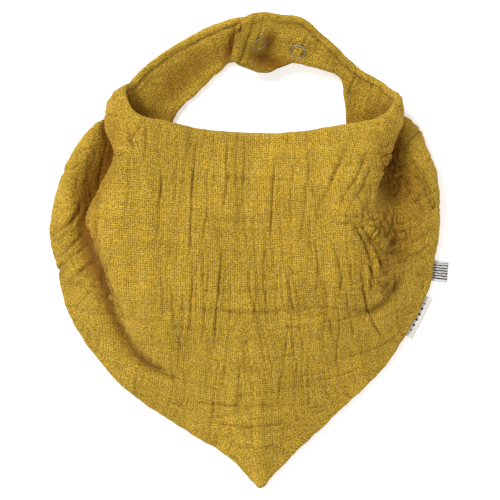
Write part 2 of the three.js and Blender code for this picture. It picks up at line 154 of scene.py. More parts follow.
FRONT = [
    [[-73, 95, 21], [-77, 94.5, 21], [-80, 92.5, 17.5], [-80.5, 90, 13], [-78, 87, 9],
     [-73.5, 84.5, 6], [-67, 82, 4], [-57, 78.5, 1.5], [-45.6, 75.6, 1.5]],
    [[-72, 88.2, 28], [-78, 87, 28.5], [-83.5, 84, 24], [-85, 81, 17], [-83.5, 78.5, 11],
     [-84, 78, 6.5], [-77, 75, 4], [-60, 69.5, 1.5], [-47, 66, 1.5]],
    [[-68.4, 82.2, 31], [-77, 79, 33], [-84.5, 72.5, 29], [-79, 69.5, 19.5], [-83.5, 71, 9],
     [-91.2, 73.5, 11], [-93.2, 70.5, 6], [-84, 62, 1.5], [-51, 51, 1.5]],
    [[-63, 79, 32], [-70, 69, 36], [-78.5, 57.5, 32], [-73.5, 55, 21.5], [-80, 57, 10],
     [-96, 60.5, 15.5], [-106.5, 55, 8], [-97, 42, 1.5], [-60, 30, 1.5]],
    [[-57, 77.5, 32], [-66, 60, 38], [-86, 40, 32], [-80, 37, 21], [-87.5, 36, 10.5],
     [-105, 39, 16], [-116, 31, 8], [-108, 18, 1.5], [-81, 6, 1.5]],
    [[-49, 76, 32], [-63, 45, 39], [-95, 22, 29], [-92.5, 16, 20], [-98.5, 12, 12],
     [-109, 12, 14.5], [-117.4, 9, 7.5], [-115, -1, 1.5], [-101, -8, 1.5]],
    [[-45, 75, 31.8], [-60, 38, 39.5], [-91, 11, 31.5], [-92, 4.5, 22.5], [-98.5, -1, 13.5],
     [-106, -3, 12.8], [-114.5, -5, 7], [-114.2, -11, 1.5], [-108, -16.5, 1.5]],
    [[-40.5, 74, 31.5], [-57, 30, 40], [-82, 2, 33.5], [-88, -7.5, 24], [-94.5, -14, 14.5],
     [-101.5, -17.5, 11], [-108, -19.5, 6.5], [-111.4, -21, 3.8], [-113, -22.5, 1.6]],
    draped([-32, 72, 31], [-48, 18, 40], [-66, -18, 34], [-103.2, -47.9, 1.6]),
    draped([-23, 70.8, 30.5], [-32, 15, 39.5], [-44, -35, 33], [-77.2, -81, 1.6]),
    draped([-14, 69.8, 30], [-17, 15, 39], [-22, -43, 32], [-40.4, -107.6, 1.6]),
    draped([-5, 69.2, 29.7], [-5.5, 15, 38.5], [-7, -46, 31.5], [-15, -122.8, 1.6]),
    draped([-1.5, 69.1, 29.6], [-1.5, 15, 38.4], [-1.5, -46, 31.5], [1.6, -138.6, 1.6]),
    draped([2, 69, 29.5], [2.5, 15, 38.3], [4, -46, 31.5], [7.2, -144.2, 1.6]),
    draped([5.5, 69, 29.6], [6.5, 15, 38.4], [9, -46, 31.5], [12.8, -138.2, 1.6]),
    draped([9, 69, 29.7], [10.5, 15, 38.5], [14.5, -45, 31.5], [29.4, -120.8, 1.6]),
    draped([19, 69, 30], [22, 15, 39], [29, -40, 32], [54.4, -97.8, 1.6]),
    draped([30, 69.8, 30.5], [36, 16, 39.5], [48, -29, 33], [80.4, -72, 1.6]),
    draped([41, 71.5, 31], [50, 19, 40], [66, -10, 34], [103, -36, 1.6]),
    [[50.5, 73, 31.5], [60, 32, 40], [75, 9, 33], [82.5, 0, 23], [90.5, -5, 14.5],
     [99, -8, 10.5], [105.7, -9.5, 6.5], [109.2, -11, 3.8], [111, -12.5, 1.6]],
    [[55, 73.7, 31.7], [63, 41, 39.3], [70, 20, 34], [78, 12, 25], [88.7, 6.5, 14.2],
     [99.5, 6, 12], [110.4, 3, 7], [111.4, -4, 1.5], [106, -7.5, 1.5]],
    [[60, 74.4, 32], [66, 50, 38.5], [72, 31, 33], [77, 24, 24], [87, 18, 14],
     [101.5, 19, 14], [113, 15, 7.5], [108, 4, 1.5], [92, 0, 1.5]],
    [[68.5, 76, 32.3], [74, 64, 36.5], [80.5, 49, 31], [76, 44.5, 21], [83.5, 43, 10.5],
     [100, 46, 15.5], [111.9, 41, 8], [103, 28, 1.5], [73, 20, 1.5]],
    [[76, 77.5, 32], [81, 71, 34], [85.5, 62, 29], [81, 59, 19.5], [87, 60.5, 10],
     [97.5, 63, 13.5], [105.4, 61, 7.5], [96, 52, 1.5], [61, 44, 1.5]],
    [[84, 83.4, 30], [87.5, 81, 30.5], [90, 77.5, 25.5], [90.5, 75, 18], [91.5, 74, 12],
     [96.2, 76.5, 9.5], [98.2, 73, 6], [85, 67, 1.5], [58.5, 62, 1.5]],
    [[87, 91, 24], [89.3, 88.5, 22.5], [89.7, 85.5, 18], [88.8, 83, 13.5], [87, 81, 9.5],
     [83.5, 79, 6.5], [79, 77.5, 4.2], [70, 75.8, 1.5], [58.8, 75, 1.5]],
]
RIGHT_STRAP = [
    [[82.5, 98.5, 12], [76.3, 95.9, 7.6], [70, 93.3, 4.5], [63.8, 90.6, 2.4], [57.6, 88, 1.6]],
    [[69.5, 106, 11], [66.2, 104, 8.6], [62.8, 102, 6.2], [59.5, 100, 4.4], [56.4, 98, 3.4]],
    [[60.5, 113, 12], [58.8, 110.6, 10.5], [57.2, 108.4, 8.6], [55.6, 106, 7], [53.8, 103.8, 6]],
    [[53, 120.8, 14], [50.4, 116.4, 12.6], [48.8, 113.2, 10.8], [47.2, 110.1, 9.2], [45.6, 107, 8]],
    [[43.4, 129.3, 17.5], [40.6, 123, 15.6], [39, 118.4, 13], [37.4, 113.7, 10.6], [36, 109.2, 9.6]],
    [[32.3, 138, 23], [30.4, 130.5, 20.4], [29.2, 123.8, 16.2], [28, 117.4, 12], [27, 111.6, 10.5]],
    [[19, 139.8, 25], [18.6, 132.4, 21.6], [18, 125, 16.4], [17.4, 117.4, 10.6], [17.6, 108.2, 9]],
    [[7, 141.2, 27.6], [6.6, 132.6, 24], [6, 123.5, 17.4], [6.4, 114.6, 11.2], [8.4, 105.4, 9.8]],
    [[-3.6, 137, 29.4], [-4, 131, 26.6], [-4.4, 124.2, 21.6], [-4.6, 116.6, 16.2], [-4.6, 108.8, 13.8]],
    [[-5.4, 131.4, 27.6], [-6.6, 127.6, 25.6], [-8.3, 122.8, 22.4], [-9.9, 118.2, 19.2],
     [-10.2, 113.4, 17.2]],
]


def spline_weights(count, at):
    """Weights of count evenly spaced control points on a smooth curve, one row for each place in at."""
    at = np.atleast_1d(np.asarray(at, float))
    index = np.clip(np.floor(at).astype(int), 0, count - 2)
    t = at - index
    basis = (
        -0.5 * t + t**2 - 0.5 * t**3,
        1 - 2.5 * t**2 + 1.5 * t**3,
        0.5 * t + 2 * t**2 - 1.5 * t**3,
        -0.5 * t**2 + 0.5 * t**3,
    )
    weights = np.zeros((len(at), count))
    rows = np.arange(len(at))
    for offset, part in zip((-1, 0, 1, 2), basis):
        np.add.at(weights, (rows, np.clip(index + offset, 0, count - 1)), part)
    return weights


def nine_points(station):
    """A station with nine points. A strap's station is given by five and filled in."""
    station = np.array(station, float)
    if len(station) == POINTS:
        return station
    return spline_weights(len(station), np.array(STRAP_SHARES) * (len(station) - 1)) @ station


STATIONS = np.array([nine_points(s) for s in [*LEFT_STRAP, *FRONT, *RIGHT_STRAP]]) + SHIFT
LEFT_ROOT = len(LEFT_STRAP) - 1
RIGHT_ROOT = LEFT_ROOT + len(FRONT) + 1
LAST = len(STATIONS) - 1
LEFT_CUT = LEFT_ROOT + 1.5               # the straps' cloth starts here, just past each shoulder
RIGHT_CUT = RIGHT_ROOT - 1.5

# Bends of the fastened ends, pressed into a cup beside the first snap: middle, half size, turn in
# degrees, depth.
BENDS = (
    ((10.5, 116.5), (7.5, 6.5), 0, 5.0),
    ((27, 132.5), (9, 4), -15, 2.2),
    ((20, 112), (8, 4), 15, 1.5),
)
# The cloth is bent evenly across each snap: middle, and slope of the bend.
SNAP_SLOPES = (((6.5, 122.5), (0.46, -0.48)), ((27.8, 123), (-0.12, -0.08)))
SNAP_FLAT = 6.4                          # radius of the evenly bent disc


def turned(gap, turn):
    """Both parts of a distance in a frame turned by an angle in degrees."""
    c, s = math.cos(math.radians(turn)), math.sin(math.radians(turn))
    return gap[..., 0] * c + gap[..., 1] * s, gap[..., 1] * c - gap[..., 0] * s


def bend_depth(place):
    """Depth of the bends in the list above at a place."""
    total = np.zeros(place.shape[:-1])
    for middle, half_size, turn, depth in BENDS:
        x, y = turned(place - middle, turn)
        total += depth * np.exp(-((x / half_size[0]) ** 2 + (y / half_size[1]) ** 2))
    return total


def bends(place):
    """Depth by which the fastened ends are bent down, evenly across each snap."""
    depth = bend_depth(place)
    for middle, slope in SNAP_SLOPES:
        gap = place - middle
        flat = bend_depth(np.array(middle)) + gap @ np.array(slope)
        share = np.exp(-(np.linalg.norm(gap, axis=-1) / SNAP_FLAT) ** 4)
        depth += share * (flat - depth)
    return depth


def middle_surface(along, across):
    """Grid of points of the cloth's middle surface, in millimetres."""
    along = np.asarray(along, float)
    across_weights = spline_weights(POINTS, across)
    along_weights = spline_weights(len(STATIONS), along)
    grid = np.einsum("ua,apc,vp->uvc", along_weights, STATIONS, across_weights, optimize=True)
    fastened = ((along < LEFT_ROOT - 2) | (along > RIGHT_ROOT + 2))[:, None]
    grid[..., 2] -= fastened * bends(grid[..., :2] - SHIFT[:2])
    lowest = CLOTH_HALF + TABLE_GAP
    above = grid[..., 2] - lowest
    rounding = 0.15                          # the cloth comes to lie on the table without a kink
    grid[..., 2] = lowest + 0.5 * (above + np.sqrt(above**2 + rounding))
    return grid


def grid_normals(grid):
    """Unit normals of a grid of points, on the outer side of the cloth."""
    along = np.gradient(grid, axis=0)
    across = np.gradient(grid, axis=1)
    normal = np.cross(across, along)
    return normal / np.maximum(np.linalg.norm(normal, axis=-1, keepdims=True), 1e-9)


def run_length(points, axis=0):
    """Length of each line of points up to each of its points."""
    steps = np.linalg.norm(np.diff(points, axis=axis), axis=-1)
    return np.insert(np.cumsum(steps, axis=axis), 0, 0, axis=axis)


def even_places(first, last, row, step):
    """Places along the band, spaced evenly by the length of its lines at the given row."""
    places = np.linspace(first, last, 1500)
    line = middle_surface(places, row)
    lengths = np.linalg.norm(np.diff(line, axis=0), axis=-1).mean(axis=1)
    total = np.concatenate([[0], np.cumsum(lengths)])
    count = max(2, int(round(total[-1] / step)))
    return np.interp(np.linspace(0, total[-1], count + 1), total, places)


def flat_pattern():
    """The band laid flat: a coarse grid of the cloth relaxed into the plane with its lengths kept."""
    along = np.linspace(0, LAST, 2 * LAST + 1)
    across = np.linspace(0, HEM, 25)
    solid = middle_surface(along, across)
    down = run_length(solid, axis=1)
    side = run_length(solid[:, 0])
    side -= side[len(side) // 2]
    # The first guess fans out to both sides of the middle.
    lean = np.clip((side - 2) / 60, -1, 1) * np.clip(down.max(axis=1) / 120, 0, 1) * 0.45
    flat = np.stack([side[:, None] + down * np.sin(lean)[:, None],
                     -down * np.cos(lean)[:, None]], axis=-1)
    links = ((1, 0), (0, 1), (1, 1), (1, -1), (2, 0), (0, 2))
    rows, columns = down.shape

    def ends(du, dv):
        first = (slice(0, rows - du), slice(max(0, -dv), columns - max(0, dv)))
        second = (slice(du, rows), slice(max(0, dv), columns + min(0, dv)))
        return first, second

    rests = []
    for du, dv in links:
        first, second = ends(du, dv)
        rests.append(np.linalg.norm(solid[second] - solid[first], axis=-1))
    # Each link between two points then pushes or pulls them until it has its length.
    rounds = 900
    for _ in range(rounds):
        push = np.zeros_like(flat)
        share = np.zeros(flat.shape[:2] + (1,))
        for (du, dv), rest in zip(links, rests):
            first, second = ends(du, dv)
            gap = flat[second] - flat[first]
            length = np.linalg.norm(gap, axis=-1)
            move = gap * (0.5 * (length - rest) / np.maximum(length, 1e-6))[..., None]
            push[first] += move
            push[second] -= move
            share[first] += 1
            share[second] += 1
        flat += 1.2 * push / share
    return along, across, flat


PATTERN_ALONG, PATTERN_ACROSS, PATTERN = flat_pattern()


def pattern_at(along, across):
    """Place in the flat pattern, in millimetres, of each point of a grid."""
    u = np.interp(along, PATTERN_ALONG, np.arange(len(PATTERN_ALONG)))
    v = np.interp(across, PATTERN_ACROSS, np.arange(len(PATTERN_ACROSS)))
    weights_u = spline_weights(len(PATTERN_ALONG), u)
    weights_v = spline_weights(len(PATTERN_ACROSS), v)
    return np.einsum("ua,apc,vp->uvc", weights_u, PATTERN, weights_v, optimize=True)


# ---------------------------------------------------------------- crinkles

def noise(x, y, seed):
    """Smooth noise from -1 to 1 on a grid of whole numbers."""
    table = np.random.default_rng(seed).uniform(-1, 1, (256, 256))
    ix, iy = np.floor(x).astype(int), np.floor(y).astype(int)
    fx, fy = x - ix, y - iy
    fx, fy = fx * fx * (3 - 2 * fx), fy * fy * (3 - 2 * fy)

    def corner(a, b):
        return table[(ix + a) % 256, (iy + b) % 256]

    low = corner(0, 0) * (1 - fx) + corner(1, 0) * fx
    high = corner(0, 1) * (1 - fx) + corner(1, 1) * fx
    return low * (1 - fy) + high * fy


def taper(t):
    """Rises from 0 to 1 and falls back to 0 as t goes from 0 to 1."""
    inside = np.clip(t, 0, 1)
    return np.sin(math.pi * inside) ** 0.5 * ((t > 0) & (t < 1))


def groove_shape(offset, width):
    """A sharp groove with a soft puff on both sides."""
    puffs = 0.4 * np.exp(-((np.abs(offset) - 2.4 * width) / (1.5 * width)) ** 2)
    return puffs - np.exp(-(offset / width) ** 2)


def random_grooves(x, y, density, lengths, depths, width, seed):
    """Sum of grooves along y, scattered over the cloth, and the shade inside them.

    The density is for each 1000 square millimetres.
    """
    random = np.random.default_rng(seed)
    height = np.zeros_like(x)
    shade = np.zeros_like(x)
    x_low, x_high, y_low, y_high = x.min(), x.max(), y.min(), y.max()
    for _ in range(int(density * (x_high - x_low) * (y_high - y_low) / 1000)):
        x0 = random.uniform(x_low, x_high)
        y0 = random.uniform(y_low, y_high)
        length = random.uniform(*lengths)
        depth = random.uniform(*depths)
        lean = random.uniform(-0.06, 0.06)
        phase = random.uniform(0, 6.3)
        sway = random.uniform(0.2, 1.1)
        near = np.nonzero((np.abs(y - y0) < length / 2) & (np.abs(x - x0) < 8 * width + 6))
        if not len(near[0]):
            continue
        dy = y[near] - y0
        wave = sway * np.sin(dy / 6.5 + phase) + 0.25 * np.sin(dy / 1.9 + phase)
        offset = x[near] - x0 - lean * dy - wave
        share = taper(dy / length + 0.5)
        height[near] += depth * share * groove_shape(offset, width)
        shade[near] += depth * share * np.exp(-(offset / (0.65 * width)) ** 2)
    return height, shade


def path_distance(place, path):
    """Signed distance of each place from a smooth path, and how far along it is from 0 to 1."""
    path = np.array(path, float)
    line = spline_weights(len(path), np.linspace(0, len(path) - 1, 8 * len(path))) @ path
    best = np.full(place.shape[:2], 1e9)
    share = np.zeros_like(best)
    for n in range(len(line) - 1):
        start, step = line[n], line[n + 1] - line[n]
        t = np.clip(((place - start) @ step) / (step @ step), 0, 1)
        gap = place - start - t[..., None] * step
        distance = np.hypot(gap[..., 0], gap[..., 1])
        closer = distance < np.abs(best)
        sign = np.sign(gap[..., 1] * step[0] - gap[..., 0] * step[1])
        best = np.where(closer, distance * np.where(sign == 0, 1, sign), best)
        share = np.where(closer, (n + t) / (len(line) - 1), share)
    return best, share


# Creases with places of their own: the path seen from above, the depth and the width.
CREASES = (
    # long vertical creases in the middle of the panel
    (((-31, 62), (-33, 44), (-34, 20), (-35, -6)), 0.9, 0.7),
    (((-12, 64), (-13.5, 52), (-13, 38), (-15, 22)), 0.7, 0.7),
    (((-16, 0), (-17, -16), (-19, -36), (-20, -58)), 0.9, 0.7),
    (((17, 56), (15, 44), (14, 26), (13, 4)), 0.9, 0.7),
    (((-54, 60), (-52, 40), (-53, 18), (-55, 2)), 0.5, 0.8),
    (((38, 56), (35, 40), (33, 20), (30, 2)), 0.5, 0.8),
    (((4, 30), (3, 8), (5, -20), (2, -50)), 0.45, 0.7),
    (((-46, -20), (-44, -44), (-38, -66)), 0.5, 0.8),
    (((24, -30), (22, -60), (16, -92)), 0.5, 0.8),
    # crosswise creases low on the panel
    (((-60, -38), (-30, -36), (0, -38), (34, -35), (62, -36)), 0.55, 0.9),
    (((-44, -46), (-10, -48), (26, -46)), 0.4, 0.8),
    (((-34, -92), (-8, -94), (20, -92)), 0.6, 0.9),
    (((-26, -104), (0, -107), (22, -104)), 0.6, 0.9),
    (((-12, -118), (4, -120), (16, -117)), 0.5, 0.9),
    (((-3, 66), (-2, 50), (-4, 34)), 0.6, 0.7),
    (((28, 60), (27, 46), (25, 30), (26, 12)), 0.6, 0.7),
    (((-42, 62), (-43, 46), (-44, 26)), 0.5, 0.7),
    (((10, 0), (9, -18), (11, -34)), 0.6, 0.7),
    (((-6, -60), (-5, -78), (-7, -96)), 0.5, 0.8),
    (((-34, 42), (-14, 41), (8, 42), (30, 40)), 0.45, 0.8),
    (((-30, 17), (-8, 18), (16, 17)), 0.4, 0.8),
    (((-50, -24), (-24, -25), (4, -24), (28, -25)), 0.45, 0.8),
    # fan of creases below the right shoulder
    (((46, 34), (52, 46), (57, 56), (61, 68)), 0.8, 1.1),
    (((54, 26), (60, 36), (66, 46), (70, 58)), 0.7, 1.1),
    (((40, 22), (47, 34), (52, 46)), 0.6, 1.0),
    (((64, 30), (69, 40), (73, 50)), 0.5, 1.0),
    # creases that come down from the right hollow
    (((60, 17), (66, 8), (71, -2), (73, -12), (74, -22)), 1.1, 1.0),
    (((66, 14), (72, 6), (77, -6), (79, -12)), 1.1, 1.0),
    (((67, -10), (68, -22), (70, -34), (75, -46), (80, -54)), 1.0, 0.9),
    (((49, 6), (53, -6), (55, -18), (54, -30)), 0.7, 1.0),
    (((42, -14), (46, -26), (47, -40), (52, -58)), 0.6, 1.0),
    (((58, -24), (60, -38), (63, -54)), 0.6, 0.9),
    # soft creases across the left wing
    (((-116, 8), (-109, 14), (-103, 21), (-101, 28)), 0.9, 1.1),
    (((-114, 44), (-108, 47), (-101, 50)), 0.7, 1.1),
    (((-113, -6), (-104, 4), (-99, 8)), 0.6, 1.2),
    (((-108, -22), (-98, -12), (-92, -8)), 0.6, 1.2),
    (((-104, -36), (-92, -24), (-84, -20)), 0.5, 1.2),
    # the left hollow runs out in a broad soft crease
    (((-97, 6), (-92, -6), (-87, -20), (-83, -33), (-78, -46), (-66, -64), (-46, -76)), 1.7, 4.2),
    (((-90, -2), (-86, -18), (-81, -34)), 0.7, 1.2),
    (((-84, -8), (-80, -26), (-72, -44)), 0.4, 1.2),
    # the right hollow's lower edge
    (((62, -38), (74, -36), (84, -28), (91, -16)), 1.0, 3.4),
    # pleats beside the shoulders, under the neck edge
    (((-72, 74), (-69, 62), (-68, 48)), 0.6, 1.2),
    (((-62, 74), (-61, 62), (-62, 50)), 0.5, 1.1),
)

# Places where the cloth is crumpled into short folds: middle, half size, turn in degrees, height.
CRUMPLES = (
    ((89, 44), (12, 22), 24, 2.0),
    ((84, 8), (17, 16), -24, 2.3),
    ((77, -16), (10, 14), 12, 1.6),
    ((101, 34), (8, 24), 16, 0.9),
    ((62, 22), (9, 12), -30, 0.9),
    ((-98, 44), (8, 22), -20, 0.7),
    ((-94, 8), (7, 14), 10, 0.8),
    ((-84, -26), (8, 14), 30, 0.8),
)


def crumple(place):
    """Height of the short crumpled folds in millimetres, below zero in their creases."""
    height = np.zeros(place.shape[:2])
    for number, (middle, half_size, turn, size) in enumerate(CRUMPLES):
        x, y = turned(place - middle, turn)
        spread = (x / half_size[0]) ** 2 + (y / half_size[1]) ** 2
        share = np.clip(1.25 - spread, 0, 1)
        sway = 1.5 * noise(x / 6, y / 6, 60 + number)
        lines = noise((x + y * 0.4 + sway) / 3.2 + 40, (y - x * 0.3 + sway) / 5.6 + 40, 70 + number)
        creases = np.clip(1 - 2.2 * np.abs(lines), 0, 1) ** 1.5
        knots = noise(x / 2.6 + 20, y / 2.9 + 20, 80 + number)
        height += size * share * (0.35 - 0.85 * creases + 0.3 * knots)
    return height


# Scattered grooves: whether they run crosswise, density, lengths, depths, width and seed.
GROOVES = (
    (False, 2.6, (26, 110), (0.15, 0.65), 0.75, 31),
    (False, 6.0, (5, 20), (0.12, 0.4), 0.75, 32),
    (True, 4.5, (14, 60), (0.1, 0.42), 0.8, 33),
)
LINING_SEED = 5                          # added to the seeds for the lining's own grooves


def crinkle(pattern, place, outer):
    """Height in millimetres of the gauze's crinkles above its smooth surface, and the shade painted into
    its grooves and creases.
    """
    x, y = pattern[..., 0], pattern[..., 1]
    wander = 2.2 * noise(x / 24, y / 30, 11)
    height = 1.0 * noise((x + wander) / 17, y / 70, 25) + 0.45 * noise((x + wander) / 7, y / 34, 21)
    height += 0.25 * noise(x / 3.4, y / 9, 22) + 0.14 * noise(x / 14, y / 3.6, 23)
    height += 0.1 * noise(x / 1.4, y / 1.5, 24)
    shade = np.zeros_like(x)
    for crosswise, density, lengths, depths, width, seed in GROOVES:
        a, b = (y, x) if crosswise else (x, y)
        if not outer:
            seed += LINING_SEED
        groove, groove_shade = random_grooves(a, b, density, lengths, depths, width, seed)
        height += groove
        shade += groove_shade
    if outer:
        for path, depth, width in CREASES:
            offset, share = path_distance(place, path)
            size = depth * taper(np.clip(share, 0.02, 0.98))
            size = size * (1 + 0.35 * noise(share * 9, np.zeros_like(share), 41))
            offset = offset + 0.5 * noise(place[..., 0] / 3, place[..., 1] / 3, 42)
            height += 1.35 * size * groove_shape(offset, width)
            # Painted shade along each listed crease.
            shade += np.minimum(1.3 * size, 1.3) * np.exp(-(offset / (0.7 * width)) ** 2)
        folds = crumple(place)
        height += folds
        # Painted shade in the crumples' creases.
        shade += 0.8 * np.clip(-folds, 0, 1.2)
    return height, shade


def box_blur(values, radius):
    """Mean over a square window, along both axes."""
    size = 2 * radius + 1
    for axis in (0, 1):
        pad = [(0, 0), (0, 0)]
        pad[axis] = (radius + 1, radius)
        total = np.cumsum(np.pad(values, pad, mode="edge"), axis=axis)
        high = np.take(total, range(size, total.shape[axis]), axis=axis)
        low = np.take(total, range(0, total.shape[axis] - size), axis=axis)
        values = (high - low) / size
    return values


MAP_HALF = 160                           # the height map covers this far on each side of the middle


def height_map():
    """Height of the highest cloth over each square millimetre of the table."""
    grid = middle_surface(np.linspace(0, LAST, 1600), np.linspace(0, HEM, 700)).reshape(-1, 3)
    cells = np.zeros((2 * MAP_HALF, 2 * MAP_HALF))
    column, row = np.clip(np.round(grid[:, :2]).astype(int) + MAP_HALF, 0, 2 * MAP_HALF - 1).T
    np.maximum.at(cells, (column, row), grid[:, 2])
    return cells


AROUND = box_blur(box_blur(height_map(), 6), 4)


def hollow(grid):
    """How deep each point lies below the cloth around it, from 0 to 1."""
    x, y = grid[..., 0] + MAP_HALF, grid[..., 1] + MAP_HALF
    ix, iy = np.floor(x).astype(int), np.floor(y).astype(int)
    fx, fy = x - ix, y - iy
    low = AROUND[ix, iy] * (1 - fx) + AROUND[ix + 1, iy] * fx
    high = AROUND[ix, iy + 1] * (1 - fx) + AROUND[ix + 1, iy + 1] * fx
    around = low * (1 - fy) + high * fy
    shallow, range_of_depths = 0.4, 6.5
    return np.clip((around - grid[..., 2] - shallow) / range_of_depths, 0, 1)


# ---------------------------------------------------------------- materials

class Nodes:
    """Short hand for building a material's node tree."""

    def __init__(self, name):
        self.material = bpy.data.materials.new(name)
        self.material.use_nodes = True
        self.tree = self.material.node_tree
        self.shader = self.tree.nodes["Principled BSDF"]

    def add(self, kind, **settings):
        node = self.tree.nodes.new(kind)
        for key, value in settings.items():
            setattr(node, key, value)
        return node

    def link(self, source, target):
        self.tree.links.new(source, target)

    def value(self, socket, value):
        if isinstance(value, bpy.types.NodeSocket):
            self.link(value, socket)
        else:
            socket.default_value = value

    def math(self, operation, *values):
        node = self.add("ShaderNodeMath", operation=operation)
        for socket, value in zip(node.inputs, values):
            self.value(socket, value)
        return node.outputs[0]

    def mix(self, share, a, b, blend="MIX"):
        node = self.add("ShaderNodeMix", data_type="RGBA", blend_type=blend)
        self.value(node.inputs[0], share)
        self.value(node.inputs[6], a)
        self.value(node.inputs[7], b)
        return node.outputs[2]

    def noise(self, vector, scale, detail=2.0, roughness=0.5):
        node = self.add("ShaderNodeTexNoise")
        self.link(vector, node.inputs["Vector"])
        node.inputs["Scale"].default_value = scale
        node.inputs["Detail"].default_value = detail
        node.inputs["Roughness"].default_value = roughness
        return node.outputs["Fac"]

    def scaled(self, vector, scale):
        node = self.add("ShaderNodeMapping")
        self.link(vector, node.inputs["Vector"])
        node.inputs["Scale"].default_value = scale
        return node.outputs["Vector"]

    def ramp(self, value, low, high):
        node = self.add("ShaderNodeMapRange", clamp=True)
        self.link(value, node.inputs["Value"])
        node.inputs["From Min"].default_value = low
        node.inputs["From Max"].default_value = high
        return node.outputs["Result"]

    def bump(self, height, distance, strength=1.0):
        node = self.add("ShaderNodeBump")
        node.inputs["Distance"].default_value = distance
        node.inputs["Strength"].default_value = strength
        self.link(height, node.inputs["Height"])
        self.link(node.outputs["Normal"], self.shader.inputs["Normal"])

    def set(self, name, value):
        """Sets or links one of the surface's inputs."""
        self.value(self.shader.inputs[name], value)

    def uv(self):
        """The map named pattern, and its two parts. They are in millimetres."""
        uv = self.add("ShaderNodeUVMap", uv_map="pattern").outputs["UV"]
        split = self.add("ShaderNodeSeparateXYZ")
        self.link(uv, split.inputs[0])
        return uv, split.outputs[0], split.outputs[1]

    def attribute(self, name, output="Fac"):
        return self.add("ShaderNodeAttribute", attribute_name=name).outputs[output]


THREAD_PITCH = 1.3
YARN_LIGHT = (0.73, 0.475, 0.052, 1)
YARN_DARK = (0.125, 0.052, 0.005, 1)
# Colours of the painted shade in the creases and in the hollows.
CREASE_SHADE_COLOUR = (0.11, 0.038, 0.004, 1)
HOLLOW_SHADE_COLOUR = (0.19, 0.06, 0.002, 1)


def gauze_weave(n, uv, u, v):
    """Height of the open plain weave's threads, from 0 to 1."""
    drift = n.math("MULTIPLY", n.noise(n.scaled(uv, (0.5, 0.5, 1)), 1.0, 2.0), 1.5)
    waves = []
    for part in (u, v):
        phase = n.math("ADD", n.math("MULTIPLY", part, math.pi / THREAD_PITCH), drift)
        waves.append(n.math("SINE", phase))
    over = n.math("MULTIPLY_ADD", n.math("MULTIPLY", *waves), 0.5, 0.5)
    threads = []
    for wave, on_top in zip(waves, (over, n.math("SUBTRACT", 1.0, over))):
        height = n.math("MULTIPLY_ADD", on_top, 0.6, 0.4)
        threads.append(n.math("MULTIPLY", n.math("ABSOLUTE", wave), height))
    return n.ramp(n.math("MAXIMUM", *threads), 0.1, 0.8)


def gauze_tint(n, uv):
    """Broad lighter and darker patches and bands of the cloth."""
    tint = 0.83
    for scale, low, high, amount in (
        ((0.03, 0.03, 1), 0.3, 0.7, 0.14),
        ((0.13, 0.012, 1), 0.35, 0.65, 0.16),
        ((0.012, 0.11, 1), 0.35, 0.65, 0.12),
    ):
        band = n.ramp(n.noise(n.scaled(uv, scale), 1.0, 2.0), low, high)
        tint = n.math("MULTIPLY_ADD", band, amount, tint)
    gray = n.add("ShaderNodeCombineColor")
    for socket in gray.inputs[:3]:
        n.link(tint, socket)
    return gray.outputs[0]


def gauze_material():
    """Open plain weave with slubs and specks, and painted shade in the creases and hollows."""
    n = Nodes("gauze")
    uv, u, v = n.uv()
    place = n.attribute("place", "Vector")
    pebble = n.ramp(n.noise(place, 1.08, 1.0, 0.6), 0.4, 0.6)
    speck = n.ramp(n.noise(place, 1.9, 1.0, 0.6), 0.38, 0.62)
    slub_up = n.noise(n.scaled(uv, (1.3, 0.07, 1)), 1.0, 3.0, 0.6)
    slub_across = n.noise(n.scaled(uv, (0.07, 1.3, 1)), 1.0, 3.0, 0.6)
    slub = n.math("MULTIPLY", n.math("ADD", slub_up, slub_across), 0.5)
    woven = n.math("SUBTRACT", gauze_weave(n, uv, u, v), 0.5)
    woven = n.math("MULTIPLY", woven, n.attribute("weave"))

    shade = n.math("MULTIPLY_ADD", woven, 0.5, 0.18)
    shade = n.math("MULTIPLY_ADD", pebble, 0.4, shade)
    shade = n.math("MULTIPLY_ADD", speck, 0.22, shade)
    shade = n.math("ADD", shade, n.math("MULTIPLY_ADD", n.ramp(slub, 0.35, 0.65), 0.24, -0.12))
    base = n.mix(shade, YARN_DARK, YARN_LIGHT)
    base = n.mix(1.0, base, gauze_tint(n, uv), "MULTIPLY")
    # Painted shade: creases and grooves are darkened in the colour.
    crease_shade_share = n.math("MULTIPLY", n.ramp(n.attribute("crease_shade"), 0.1, 1.5), 0.8)
    base = n.mix(crease_shade_share, base, CREASE_SHADE_COLOUR)
    # Painted shade: hollows and the listed dark places are darkened towards a deep brown.
    hollow_shade_share = n.math("MULTIPLY", n.ramp(n.attribute("hollow"), 0, 1), 0.8)
    n.set("Base Color", n.mix(hollow_shade_share, base, HOLLOW_SHADE_COLOUR))
    n.set("Roughness", 0.92)
    n.set("Specular IOR Level", 0.1)
    n.set("Sheen Weight", 0.08)
    n.set("Sheen Roughness", 0.5)
    n.set("Sheen Tint", (1.0, 0.86, 0.45, 1))
    relief = n.math("MULTIPLY_ADD", pebble, 0.8, n.math("MULTIPLY", woven, 0.6))
    n.bump(n.math("MULTIPLY_ADD", speck, 0.4, relief), 0.0004, 0.9)
    return n.material


def thread_material():
    n = Nodes("seam_thread")
    place = n.add("ShaderNodeTexCoord").outputs["Object"]
    fibre = n.noise(n.scaled(place, (3000, 3000, 3000)), 1.0, 2.0)
    n.set("Base Color", n.mix(fibre, (0.2, 0.11, 0.02, 1), (0.42, 0.26, 0.045, 1)))
    n.set("Roughness", 0.7)
    n.bump(fibre, 0.0001)
    return n.material


def snap_material():
    n = Nodes("snap_metal")
    place = n.add("ShaderNodeTexCoord").outputs["Object"]
    wear = n.noise(n.scaled(place, (900, 900, 900)), 1.0, 3.0)
    n.set("Base Color", n.mix(wear, (0.34, 0.31, 0.23, 1), (0.56, 0.53, 0.43, 1)))
    n.set("Metallic", 1.0)
    n.set("Roughness", n.math("MULTIPLY_ADD", wear, 0.25, 0.3))
    return n.material


